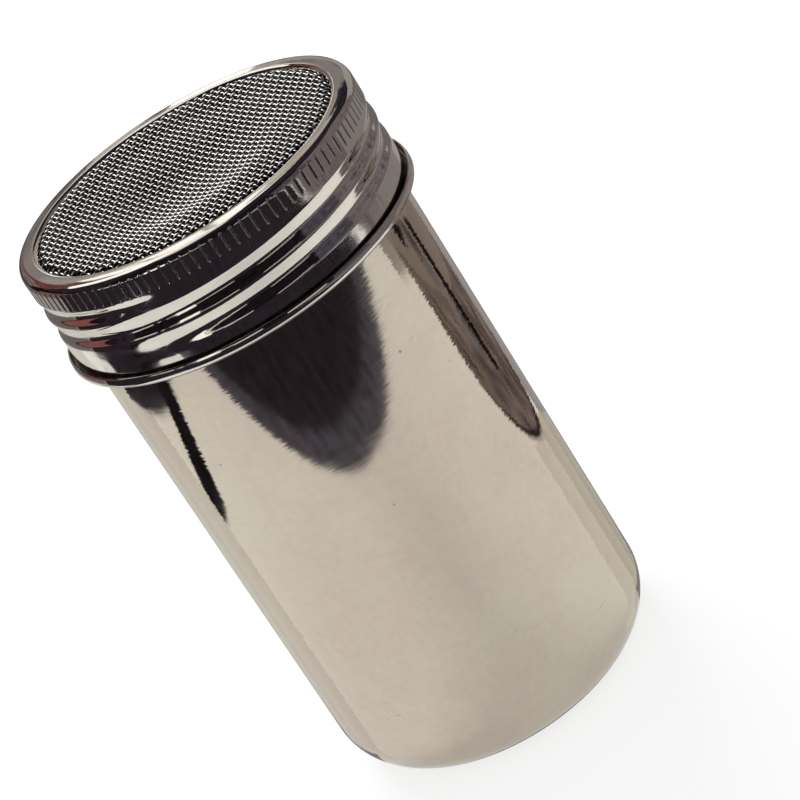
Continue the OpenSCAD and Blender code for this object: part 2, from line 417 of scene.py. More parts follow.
def ease(values, low, high):
    """0 below low, 1 above high, smooth between."""
    t = np.clip((values - low) / (high - low), 0.0, 1.0)
    return t * t * (3.0 - 2.0 * t)


def arc(centre, radius, start, end, steps):
    """Points of an arc in a plane, with its angles in degrees."""
    turn = np.radians(np.linspace(start, end, steps + 1))
    return [(centre[0] + radius * math.cos(a), centre[1] + radius * math.sin(a)) for a in turn]


def run(start, end, step):
    """Points of a straight stretch, step apart or a little closer."""
    count = max(1, math.ceil(math.dist(start, end) / step))
    start, end = np.array(start), np.array(end)
    return [tuple(start + (end - start) * i / count) for i in range(count + 1)]


def outline(*stretches):
    """One outline from stretches that meet, without the points that they share."""
    points = []
    for point in (p for stretch in stretches for p in stretch):
        if not points or math.dist(points[-1], point) > 0.001 * MM:
            points.append(point)
    return np.array(points)


def nearest_turn(z, angle, start, lead, starts):
    """Height of the nearest centre of a helix whose centre is start where the angle is 0."""
    first = start + lead * angle / (2 * math.pi)
    pitch = lead / starts
    return first + pitch * np.round((z - first) / pitch)


def helix_wave(z, angle, start, low, high, thread):
    """A rounded rib or groove along the helix: 1 on its centre, 0 half a pitch away, faded at its ends."""
    centre = nearest_turn(z, angle, start, thread.lead, thread.starts)
    wave = (1 + np.cos(2 * math.pi * (z - centre) / (thread.lead / thread.starts))) / 2
    begins = ease(centre, low, low + 2 * thread.run_out)
    return wave * begins * (1 - ease(centre, high, high + thread.run_out))


def held_ends(z, low, high, thread):
    """1 in the middle of a rolled stretch, 0 at its two ends."""
    return ease(z, low, low + thread.fade) * (1 - ease(z, high - thread.fade, high))


def ridge_wave(z, angle, thread, rim):
    """The neck's rolled ridges: 1 on a ridge, 0 on the plain wall."""
    high = rim - thread.ridge_top
    low = high - thread.ridge_span
    stretch = low - thread.lead / thread.starts / 2, rim - thread.neck_plain
    wave = helix_wave(z, angle, rim - thread.side_drop, low, high, thread)
    return wave * held_ends(z, *stretch, thread)


def groove_wave(z, angle, thread, rim, hem_top):
    """The lid's rolled grooves: 1 in a groove, 0 on the plain wall."""
    high = rim - thread.groove_top
    low = high - thread.groove_span
    start = rim - thread.side_drop + thread.lead / thread.starts / 2
    wave = helix_wave(z, angle, start, low, high, thread)
    return wave * held_ends(z, hem_top + thread.skirt_plain, rim - thread.lid_plain, thread)


def grid_faces(rows, columns, closed_rows):
    """Faces of a grid that closes round its columns, and round its rows too if asked."""
    last = rows if closed_rows else rows - 1
    row, column = np.meshgrid(np.arange(last), np.arange(columns), indexing="ij")
    above, beside = (row + 1) % rows, (column + 1) % columns
    corners = [(row, column), (row, beside), (above, beside), (above, column)]
    return np.stack([r * columns + c for r, c in corners], axis=-1).reshape(-1, 4)


def swept(radius, height, angles):
    """Points of a profile swept round the axis. radius has a row a height and a column an angle."""
    height = np.broadcast_to(height, radius.shape)
    return np.stack([radius * np.cos(angles), radius * np.sin(angles), height], axis=-1).reshape(-1, 3)


def mesh_object(name, points, faces, grime_and_shade=None):
    """A smooth mesh object, with the painted grime and shade of its points."""
    mesh = bpy.data.meshes.new(name)
    mesh.from_pydata([tuple(p) for p in points], [], [tuple(int(i) for i in f) for f in faces])
    mesh.validate()
    mesh.shade_smooth()
    if grime_and_shade is not None:
        # The layer holds painted shade in the lid's hollows, and dust with painted shade in the wires' low
        # bends
        layer = mesh.attributes.new("grime_and_shade", "FLOAT", "POINT")
        layer.data.foreach_set("value", np.asarray(grime_and_shade, np.float32))
    piece = bpy.data.objects.new(name, mesh)
    bpy.context.scene.collection.objects.link(piece)
    return piece


def finish_piece(piece, material, body, slot, *nodes):
    """Gives a piece its material and its body, and hides the solids that it stands for. Its slot is not
    used.
    """
    piece.data.materials.append(material)
    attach(piece, body)
    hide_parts(*nodes)


# ---------------------------------------------------------------- the can


CAN_COLUMNS = 288
NECK_ROW = 0.25 * MM
EDGE_ROUND = 0.12 * MM


def can_outline(can, rim, neck_low):
    """The can's outside from the middle of its base to the rim, then its inside back to the middle."""
    foot_out = can.radius - can.base_round
    foot_in = foot_out - can.foot_width
    step_in = foot_in - can.base_step
    inner = can.radius - can.sheet
    floor_z = can.base_rise + can.sheet
    soft = 0.5 * MM
    outside = outline(
        run((0, can.base_rise), (step_in - soft, can.base_rise), 2.5 * MM),
        [(step_in, can.base_rise - 0.06 * MM), (foot_in - soft, 0.3 * MM)],
        [(foot_in, 0.05 * MM), (foot_in + 0.2 * MM, 0), (foot_out, 0)],
        arc((foot_out, can.base_round), can.base_round, -90, 0, 28),
        run((can.radius, can.base_round), (can.radius, neck_low), 4 * MM),
        run((can.radius, neck_low), (can.radius, rim - EDGE_ROUND), NECK_ROW),
        arc((can.radius - EDGE_ROUND, rim - EDGE_ROUND), EDGE_ROUND, 0, 90, 4))
    inside = outline(
        arc((inner + EDGE_ROUND, rim - EDGE_ROUND), EDGE_ROUND, 90, 180, 4),
        run((inner, rim - EDGE_ROUND), (inner, neck_low), NECK_ROW * 1.5),
        run((inner, neck_low), (inner, can.base_round), 6 * MM),
        arc((foot_out, can.base_round), can.base_round - can.sheet, 0, -90, 20),
        [(foot_in + 0.1 * MM, can.sheet), (foot_in - soft, can.sheet + 0.3 * MM)],
        [(step_in, floor_z - 0.06 * MM), (step_in - soft, floor_z)],
        run((step_in - soft, floor_z), (0, floor_z), 2.5 * MM))
    return np.vstack([outside, inside])


def build_can(scene):
    """The drawn can: pressed base, rounded corner, straight wall, neck with rolled ridges, plain rim."""
    can, thread = scene.shaker_can, scene.shaker_thread
    rim = CAN_BOX[1].z
    neck_low = rim - thread.ridge_top - thread.ridge_span - thread.lead / thread.starts / 2
    rows = can_outline(can, rim, neck_low)
    angles = np.arange(CAN_COLUMNS) * 2 * math.pi / CAN_COLUMNS
    radius, height = rows[:, 0:1], rows[:, 1:2]
    ridge = ridge_wave(height, angles[None, :], thread, rim)
    wide = radius + thread.ridge * ridge * (radius > can.radius - 2 * can.sheet)
    points = swept(wide, height, angles)
    faces = grid_faces(len(rows), CAN_COLUMNS, False)
    # The two rows on the axis close into a point each
    first_ring, last_ring = CAN_COLUMNS, (len(rows) - 2) * CAN_COLUMNS
    kept = points[first_ring:last_ring + CAN_COLUMNS]
    faces = faces[CAN_COLUMNS:-CAN_COLUMNS] - first_ring
    bottom, top = len(kept), len(kept) + 1
    beside = np.roll(np.arange(CAN_COLUMNS), -1)
    last = len(kept) - CAN_COLUMNS
    fans = [(bottom, int(b), a) for a, b in enumerate(beside)]
    fans += [(top, last + a, last + int(b)) for a, b in enumerate(beside)]
    points = np.vstack([kept, [[0, 0, can.base_rise], [0, 0, can.base_rise + can.sheet]]])
    return mesh_object("drawn_can", points, list(map(tuple, faces)) + fans)


# ---------------------------------------------------------------- the lid


NOTCH_COLUMNS = (-0.34, -0.22, -0.14, -0.07, 0.0, 0.07, 0.14, 0.22, 0.34)
NOTCH_FOOT = 0.35 * MM
NOTCH_RUN_OUT = 1.7 * MM, 1.0 * MM
NOTCH_SOFTNESS = 0.05 * MM
WALL_ROW = 0.25 * MM
CROWN_POWER = 1.7
# How much painted shade darkens a notch, the fold of the hem and the hem's underside
NOTCH_SHADE = 0.9
FOLD_SHADE = 0.85
UNDERSIDE_SHADE = 0.8


def flange_crown(lid, start, top):
    """Points of the flange's upper side, level at the lip and falling more and more to its outer edge."""
    end = lid.radius - lid.edge_round * (1 - math.sin(lid.flange_slope))
    fall = (end - start) * math.tan(lid.flange_slope) / CROWN_POWER
    return [(start + (end - start) * s, top - fall * s ** CROWN_POWER) for s in np.linspace(0, 1, 11)]


def lid_outline(lid, top, hem_low):
    """The lid's outside from the lip to the hem, and its inside back to the lip, as radius and height."""
    inner = lid.radius - lid.sheet
    opening = lid.radius - lid.flange
    lip_low = top - lid.lip_drop
    half = lid.sheet / 2
    lip_centre = opening + lid.sheet + lid.lip_round, top - lid.sheet - lid.lip_round
    crown = flange_crown(lid, lip_centre[0], top)
    edge_centre = lid.radius - lid.edge_round, crown[-1][1] - lid.edge_round * math.cos(lid.flange_slope)
    curl = (lid.hem_gap + lid.sheet) / 2
    curl_centre = lid.radius - half + curl, hem_low + half + curl
    lean_centre = curl_centre[0] + curl - lid.hem_lean, curl_centre[1]
    lean = math.degrees(math.asin((hem_low + lid.hem_height - half - curl_centre[1]) / lid.hem_lean))
    leg_end = (lean_centre[0] + lid.hem_lean * math.cos(math.radians(lean)),
               lean_centre[1] + lid.hem_lean * math.sin(math.radians(lean)))
    outside = outline(
        [(opening + half, lip_low), (opening + 0.04 * MM, lip_low + 0.04 * MM)],
        run((opening, lip_low + 0.1 * MM), (opening, lip_centre[1]), 0.15 * MM),
        arc(lip_centre, lid.lip_round + lid.sheet, 180, 90, 10),
        crown,
        arc(edge_centre, lid.edge_round, 90 - math.degrees(lid.flange_slope), 0, 14),
        run((lid.radius, edge_centre[1]), (lid.radius, hem_low + lid.hem_height), WALL_ROW),
        run((lid.radius, hem_low + lid.hem_height), (lid.radius, curl_centre[1]), 0.4 * MM),
        arc(curl_centre, curl - half, 180, 360, 10),
        arc(lean_centre, lid.hem_lean - half, 0, lean, 4),
        arc(leg_end, half, 180 + lean, lean, 8)[1:-1],
        arc(lean_centre, lid.hem_lean + half, lean, 0, 6),
        arc(curl_centre, curl + half, 360, 180, 18))
    inside = outline(
        run((inner, curl_centre[1]), (inner, hem_low + lid.hem_height), 0.5 * MM),
        run((inner, hem_low + lid.hem_height), (inner, edge_centre[1]), WALL_ROW * 1.5),
        arc(edge_centre, lid.edge_round - lid.sheet, 0, 90, 8),
        [(r, z - lid.sheet) for r, z in crown[-3:0:-2]],
        arc(lip_centre, lid.lip_round, 90, 180, 5),
        [(opening + lid.sheet, lip_low + 0.05 * MM)])
    return outside, inside


def build_lid(scene):
    """The pressed lid: turned-down lip, flange, notched band, rolled grooves, skirt and curled hem."""
    lid, thread = scene.shaker_lid, scene.shaker_thread
    rim, top, hem_low = CAN_BOX[1].z, LID_BOX[1].z, LID_BOX[0].z
    outside, inside = lid_outline(lid, top, hem_low)
    rows = np.vstack([outside, inside])
    pitch = 2 * math.pi / lid.knurl_count
    across = np.append(np.array(NOTCH_COLUMNS) * MM, pitch * lid.radius / 2)
    angles = (np.arange(lid.knurl_count)[:, None] * pitch + across[None, :] / lid.radius).ravel()
    radius, height = rows[:, 0:1], rows[:, 1:2]
    on_wall = (radius > lid.radius - lid.sheet - MM * 0.01) & (radius < lid.radius + MM * 0.01)
    groove = groove_wave(height, angles[None, :], thread, rim, hem_low + lid.hem_height)
    # A notch is a rounded slit that ends square at its foot and runs out over the rounded edge
    notch_low = top - lid.knurl_height
    half_width = lid.knurl_width / 2 + NOTCH_SOFTNESS
    slit = (1 + np.cos(np.clip(across / half_width, -1, 1) * math.pi)) / 2
    slit = np.tile(slit, lid.knurl_count)[None, :]
    is_outside = (np.arange(len(rows)) < len(outside))[:, None]
    fading, gone = (top - drop for drop in NOTCH_RUN_OUT)
    band = ease(height, notch_low, notch_low + NOTCH_FOOT) * (1 - ease(height, fading, gone))
    band = band * is_outside * (radius > lid.radius - lid.edge_round)
    wide = radius - thread.groove * groove * on_wall - lid.knurl_depth * slit * band
    # Painted shade darkens the notches, the fold of the hem and the hem's underside
    underside_top = hem_low + 0.6 * MM
    fold = (height > underside_top) & (height < hem_low + lid.hem_height + 0.3 * MM)
    in_fold = fold & (radius < lid.radius + lid.hem_gap - 0.02 * MM) & is_outside
    underside = 1 - ease(height, underside_top - 0.3 * MM, underside_top)
    under_hem = is_outside * (radius > lid.radius + lid.hem_gap) * underside
    grime_and_shade = slit * band * NOTCH_SHADE + in_fold * FOLD_SHADE + under_hem * UNDERSIDE_SHADE
    faces = grid_faces(len(rows), len(angles), True)
    return mesh_object("pressed_lid", swept(wide, height, angles), faces, np.clip(grime_and_shade, 0, 1).ravel())


# ---------------------------------------------------------------- the sieve


WIRE_SIDES = 8
STEPS_PER_CROSSING = 4
DISH_MIDDLE = -4.5 * MM, -4 * MM
DISH_WIDTH = 14 * MM
CREST_AZIMUTH = math.radians(-78)
CREST_RADIUS = 21.5 * MM
CREST_WIDTH = 4.8 * MM
COLLAR_RISE = 21 * MM, 28.6 * MM
SHOULDER_FALL = 29.2 * MM, 31.2 * MM
# The swings, from -1 to 1, between which the dust and painted shade of a wire's low bends end
UPPER_DUST_AND_SHADE_ENDS = -0.9, -0.3
LOWER_DUST_AND_SHADE_ENDS = 0.5, 0.85


def cloth_height(x, y, sieve):
    """Height of the cloth: dished by use, with a crest on the near side and a shoulder at its edge."""
    r = np.hypot(x, y)
    from_middle = (x - DISH_MIDDLE[0]) ** 2 + (y - DISH_MIDDLE[1]) ** 2
    dish = -sieve.dish * np.exp(-from_middle / DISH_WIDTH ** 2)
    toward = 0.5 + 0.5 * np.cos(np.arctan2(y, x) - CREST_AZIMUTH)
    crest = sieve.crest * toward ** 1.5 * np.exp(-((r - CREST_RADIUS) / CREST_WIDTH) ** 2)
    collar = sieve.collar * (1 - 0.5 * toward) * ease(r, *COLLAR_RISE)
    inner = sieve.level + dish + crest + collar
    return inner + (sieve.edge - inner) * ease(r, *SHOULDER_FALL)


def wire_tube(path, side, radius):
    """Points of a round tube along a path in one upright plane, whose sideways direction is side."""
    tangent = np.gradient(path, axis=0)
    tangent /= np.linalg.norm(tangent, axis=1)[:, None]
    up = np.cross(side, tangent)
    turn = np.arange(WIRE_SIDES) * 2 * math.pi / WIRE_SIDES
    sideways = np.cos(turn)[None, :, None] * side[None, None, :]
    upward = np.sin(turn)[None, :, None] * up[:, None, :]
    return path[:, None, :] + radius * (sideways + upward)


def build_wires(name, sieve, direction, crimp, first_over, dust_and_shade_ends):
    """One family of parallel crimped wires, dark with dust and painted shade in their low bends. direction
    is the way across them.
    """
    across = np.array([math.cos(direction), math.sin(direction), 0.0])
    along = np.array([-across[1], across[0], 0.0])
    last = math.floor((sieve.reach - sieve.wire) / sieve.pitch)
    step = sieve.pitch / STEPS_PER_CROSSING
    points, faces, grime_and_shade, base = [], [], [], 0
    for index in range(-last, last + 1):
        offset = index * sieve.pitch
        reach = math.sqrt(sieve.reach ** 2 - offset ** 2)
        count = math.floor(reach / step)
        s = np.arange(-count, count + 1) * step
        path = offset * across[None, :] + s[:, None] * along[None, :]
        swing = (1 if index % 2 == 0 else -1) * first_over * np.cos(math.pi * s / sieve.pitch)
        path[:, 2] = cloth_height(path[:, 0], path[:, 1], sieve) + crimp * swing
        points.append(wire_tube(path, across, sieve.wire / 2).reshape(-1, 3))
        # Painted shade with dust: dark on the low bends, clean on the bends that pass over
        grime_and_shade.append(np.repeat(1 - ease(swing, *dust_and_shade_ends), WIRE_SIDES))
        end = base + len(s) * WIRE_SIDES
        faces += map(tuple, grid_faces(len(s), WIRE_SIDES, False)[:, ::-1] + base)
        faces += [range(base, base + WIRE_SIDES), range(end - 1, end - 1 - WIRE_SIDES, -1)]
        base = end
    return mesh_object(name, np.vstack(points), faces, np.concatenate(grime_and_shade))


# ---------------------------------------------------------------- the studio


SENSOR_WIDTH = 36.0


def place_camera(studio):
    """The camera: it looks down at the can, rolled, with the middle of the base at its pixel."""
    tilt, roll = studio.tilt, studio.roll
    level = Vector((1, 0, 0))
    rise = Vector((0, math.sin(tilt), math.cos(tilt)))
    ahead = Vector((0, math.cos(tilt), -math.sin(tilt)))
    right = math.cos(roll) * level + math.sin(roll) * rise
    up = -math.sin(roll) * level + math.cos(roll) * rise
    data = bpy.data.cameras.new("camera")
    data.lens = studio.lens
    data.sensor_width = SENSOR_WIDTH
    data.clip_start = 0.02
    data.clip_end = 20.0
    pixels = studio.lens / SENSOR_WIDTH * IMAGE_SIDE
    offset = [(p - IMAGE_SIDE / 2) * studio.distance / pixels for p in studio.base_pixel]
    camera = bpy.data.objects.new("camera", data)
    camera.matrix_world = Matrix((right, up, -ahead)).transposed().to_4x4()
    camera.location = -offset[0] * right + offset[1] * up - studio.distance * ahead
    bpy.context.scene.collection.objects.link(camera)
    bpy.context.scene.camera = camera


def stage_sheet(name, corners, material):
    """A sheet of the studio, from its corners in metres."""
    mesh = bpy.data.meshes.new(name)
    mesh.from_pydata(corners, [], [tuple(range(len(corners)))])
    mesh.materials.append(material)
    sheet = bpy.data.objects.new(name, mesh)
    bpy.context.scene.collection.objects.link(sheet)
    return sheet


CLOUDED_BELOW = 0.25
# Sizes of the clouds, in metres, on near cards and on the room's walls
NEAR_CLOUDS = 0.012
WALL_CLOUDS = 0.09


def glow(name, colour, strength, clouds):
    """A material that shines. A dark one has darker and lighter clouds of the given size in metres."""
    f = Finish(name)
    tone = rgba(colour)
    if max(colour) < CLOUDED_BELOW:
        cloud = f.noise(f.place(), 1 / clouds, detail=5.0, roughness=0.6).smooth(0.28, 0.72)
        tone = f.mix(cloud, tuple(c * 0.4 for c in colour), tuple(c * 1.6 for c in colour))
    light = f.node("ShaderNodeEmission", sockets={"Color": tone, "Strength": strength})[0]
    f.node("ShaderNodeOutputMaterial", sockets={"Surface": light})
    return f.material


def card(name, corners, colour, strength=1.0, clouds=NEAR_CLOUDS):
    """A card that only the steel's reflections see: no camera, no shadow and no light on other things."""
    sheet = stage_sheet(name, corners, glow(name, colour, strength, clouds))
    sheet.visible_camera = False
    sheet.visible_diffuse = False
    sheet.visible_shadow = False
    sheet.visible_volume_scatter = False


FLOOR_REACH = 6.0
# How much of the floor's look is plain white where the camera and the steel see it
CAMERA_WHITE = 0.72
MIRROR_WHITE = 0.47


def square(reach):
    """Corners of a square whose sides lie this far from the axis."""
    return [(-reach, -reach), (reach, -reach), (reach, reach), (-reach, reach)]


def build_floor(studio):
    """A wide pale floor that shows white and keeps the object's shadow, also in the steel."""
    f = Finish("floor")
    soft = f.node("ShaderNodeBsdfDiffuse", sockets={"Color": rgba(studio.floor_colour)})[0]
    white = f.node("ShaderNodeEmission", sockets={"Color": (1, 1, 1, 1), "Strength": 1.1})[0]
    camera, glossy, transmission = f.rays()
    own_light = (camera.maximum(transmission) * CAMERA_WHITE).maximum(glossy * MIRROR_WHITE)
    surface = f.node("ShaderNodeMixShader", sockets={0: own_light, 1: soft, 2: white})[0]
    f.node("ShaderNodeOutputMaterial", sockets={"Surface": surface})
    stage_sheet("floor", [(x, y, 0) for x, y in square(FLOOR_REACH)], f.material)


def build_world():
    """A world that is white wherever it is seen and gives a soft even light."""
    world = bpy.data.worlds.new("studio")
    world.use_nodes = True
    f = Finish("studio", world.node_tree)
    white = f.node("ShaderNodeBackground", sockets={"Color": (1, 1, 1, 1), "Strength": 1.0})[0]
    fill = f.node("ShaderNodeBackground", sockets={"Color": (1, 1, 1, 1), "Strength": 0.6})[0]
    camera, glossy, transmission = f.rays()
    seen = camera.maximum(glossy).maximum(transmission)
    surface = f.node("ShaderNodeMixShader", sockets={0: seen, 1: fill, 2: white})[0]
    f.node("ShaderNodeOutputWorld", sockets={"Surface": surface})
    bpy.context.scene.world = world


def lamp(name, place, target, size, power, shines_on=None):
    """A soft lamp that points at a target. It may light one piece alone, and then shows in its steel."""
    data = bpy.data.lights.new(name, "AREA")
    data.shape = "RECTANGLE"
    data.size, data.size_y = size
    data.energy = power
    light = bpy.data.objects.new(name, data)
    light.location = place
    light.rotation_euler = (Vector(target) - Vector(place)).to_track_quat("-Z", "Y").to_euler()
    light.visible_camera = False
    light.visible_glossy = shines_on is not None
    if shines_on is not None:
        lit = bpy.data.collections.new(f"{name}_lit")
        lit.objects.link(bpy.data.objects[shines_on])
        light.light_linking.receiver_collection = lit
    bpy.context.scene.collection.objects.link(light)


CAN_MIDDLE = 0, 0, 0.06
SIEVE_MIDDLE = 0, 0, 0.12


def build_lamps(studio):
    """One lamp for the whole object, and three that only the sieve's wires see."""
    lamp("window_light", (-0.15, 1.1, 0.9), CAN_MIDDLE, (0.8, 0.5), 14 * studio.light)
    for name, place, size, power, wires in (
            ("rows_light", (-0.40, 0.99, 0.75), (0.9, 1.5), 7.5, "upper_wires"),
            ("ticks_light", (-0.1, 0.95, 0.8), (1.2, 1.3), 7.5, "lower_wires"),
            ("crests_light", (0.3, 0.1, 1.3), (1.5, 1.5), 7, "lower_wires")):
        lamp(name, place, SIEVE_MIDDLE, size, power * studio.light, wires)


# Linear colours of what the steel mirrors
BLACK = (0.012, 0.009, 0.012)
DARK = (0.026, 0.021, 0.030)
DUSK = (0.080, 0.076, 0.105)
BROWN = (0.178, 0.143, 0.137)
UMBER = (0.195, 0.157, 0.150)
CLAY = (0.280, 0.235, 0.222)
RUST = (0.230, 0.085, 0.080)
TAUPE = (0.185, 0.160, 0.175)
MIDDLE = (0.28, 0.26, 0.26)
GREY = (0.40, 0.375, 0.37)
SHADE = (0.55, 0.52, 0.46)
PALE = (0.67, 0.65, 0.585)
SOFT = (0.75, 0.74, 0.69)
LIGHT = (0.84, 0.82, 0.79)
WHITE = (1.0, 1.0, 1.0)
# Millimetres: the room's wall, the far edge of what lies on the floor, the skylight and the ceiling
ROOM = 1400
FAR = 1450
SKYLIGHT_HEIGHT = 3300
CEILING_HEIGHT = 3600
CEILING_REACH = 4000


def floor_card(name, corners, colour, lift=0.5):
    """A card that lies on the floor or above it, from corners in millimetres."""
    card(name, [(x * MM, y * MM, lift * MM) for x, y in corners], colour)


def upright_card(name, corners, colour, strength=1.0, clouds=NEAR_CLOUDS):
    """A card from its corners in millimetres."""
    card(name, [tuple(c * MM for c in corner) for corner in corners], colour, strength, clouds)


# The most that one flat part of a round card turns, in degrees
CARD_TURN = 9


def round_card(name, centre, radius, azimuths, heights, colour, strength=1.0, clouds=NEAR_CLOUDS):
    """An upright curved card. Azimuths are in degrees from +X, sizes in millimetres."""
    steps = max(1, math.ceil(abs(azimuths[1] - azimuths[0]) / CARD_TURN))
    ring = arc(centre, radius, *azimuths, steps)
    low, high = heights
    for i, (start, end) in enumerate(zip(ring, ring[1:])):
        corners = [(*start, low), (*end, low), (*end, high), (*start, high)]
        upright_card(f"{name}_{i}", corners, colour, strength, clouds)


def on_wall(azimuth, elevation, distance):
    """A point of the room's round wall, in millimetres, from its angles in degrees."""
    turn = math.radians(azimuth)
    height = distance * math.tan(math.radians(elevation))
    return distance * math.cos(turn), distance * math.sin(turn), height


def room_wall(name, azimuths, elevations, colour, strength=1.0, distance=ROOM):
    """A curved wall of the room, between two elevations in degrees as the object sees them."""
    heights = [distance * math.tan(math.radians(e)) for e in elevations]
    round_card(name, (0, 0), distance, azimuths, heights, colour, strength, WALL_CLOUDS)


def build_table(studio):
    """Where the pale table ends: a shallow curve in front, ragged on the left, straight on the right."""
    bow = 430
    tip_x, right_end = 20, 262
    for name, depth, colour, lift in (("table_edge", 0, DUSK, 0.5), ("table_front", 26, DARK, 0.8)):
        tip = -studio.table_depth / MM - depth
        edge = [(x, tip + bow - math.sqrt(bow ** 2 - (x - tip_x) ** 2))
                for x in np.linspace(tip_x, right_end, 10)]
        left_edge = [(-FAR, -FAR), (-FAR, -420), (-245, tip + 30)]
        floor_card(name, [*left_edge, *edge, (right_end, -FAR)], colour, lift)
    left = [(-256, 166), (-268, 100), (-259, 72), (-252, 38), (-252, 12),
            (-256, -12), (-266, -50), (-272, -72), (-290, -100), (-262, -150)]
    floor_card("table_left", [*left, (-FAR, -600), (-FAR, 800)], DARK)
    floor_card("table_right", [(272, -FAR), (FAR, -FAR), (FAR, 60), (272, 60)], TAUPE)
    for name, near, azimuths, colour, lift in (
            ("floor_grey", 243, (-8, 98), GREY, 0.5), ("floor_dim", 302, (-8, 98), TAUPE, 0.8),
            ("floor_left", 302, (98, 153), GREY, 0.6), ("floor_far_left", 352, (98, 152), TAUPE, 0.9)):
        far_edge = arc((0, 0), FAR, *azimuths, 12)
        floor_card(name, [*arc((0, 0), near, *azimuths, 12), *far_edge[::-1]], colour, lift)
    dent = [(-200, 152), (-226, 86), (-242, 38), (-250, 8), (-255, -34),
            (-269, -34), (-268, 60), (-262, 85), (-246, 132), (-214, 164)]
    floor_card("table_dent", dent, DARK, 0.7)
    # Softer light beside and behind the can, and the dark line where it stands
    for name, corners, colour in (
            ("shade_left", [(-33, -2), (-54, 297), (-144, 268), (-32.4, -6.3)], PALE),
            ("shade_left_soft", [(-32.4, -6.3), (-144, 268), (-210, 213), (-31.4, -10)], SOFT),
            ("shade_left_light", [(-31.4, -10), (-210, 213), (-244, 112), (-28.6, -16.5)], LIGHT),
            ("shade_right_foot", [(33, 0), (40, 92), (88, 75), (31.9, -8.5)], SHADE),
            ("shade_right_soft", [(31.9, -8.5), (88, 75), (108, 50), (30.5, -12.5)], PALE),
            ("shade_right_light", [(30.5, -12.5), (108, 50), (116, 16), (27, -19)], LIGHT),
            ("shade_right", [(40, 92), (80, 300), (190, 240), (88, 75)], GREY)):
        floor_card(name, corners, colour, 0.3)
    back = [(-37, -6), (37, -6), (44, 40), (62, 110), (170, 420), (10, 420), (-54, 110), (-42, 40)]
    floor_card("shade_back", back, MIDDLE)
    foot_shade_radius = 26.8
    floor_card("shade_foot", arc((0, 0), foot_shade_radius, 0, 350, 35), BLACK, 0.1)


def build_neighbours():
    """A round pot on the right and a leaning post on the left, as the can's wall mirrors them."""
    pot, radius, top = (181, 81), 84, 60
    for low in range(0, top, 10):
        edge = 280 - 1.25 * max(0, low - 20)
        colour = (BROWN, UMBER, CLAY)[low // 20]
        round_card(f"pot_{low}", pot, radius, (120, edge), (low, low + 10), colour)
    lip = [(*point, height) for height, turn in ((50, (233, 235)), (top, (238, 221)))
           for point in arc(pot, radius + 0.5, *turn, 1)]
    upright_card("pot_lip", lip, BLACK)
    round_card("pot_foot", pot, radius + 0.5, (120, 280), (0, 2.5), DARK)
    round_card("pot_streak", pot, radius + 0.5, (207, 213), (19, top), BLACK)
    round_card("pot_sheen", pot, radius + 0.5, (216, 224), (8, top), TAUPE)
    floor_card("pot_top", arc(pot, radius, 0, 345, 23), MIDDLE, top)
    floor_card("pot_shadow", arc(pot, radius + 3, 0, 345, 23), SHADE, 0.4)
    # The post leans to the right and ends in a point: height, and half its width there
    post = [(z, 57 - 1.66 * z, half) for z, half in ((0, 2), (10, 16), (41, 12), (60, 12))]
    edges = [[(-156, y + side * half, z) for z, y, half in post] for side in (1, -1)]
    upright_card("post", [*edges[0], *edges[1][::-1]], BLACK)


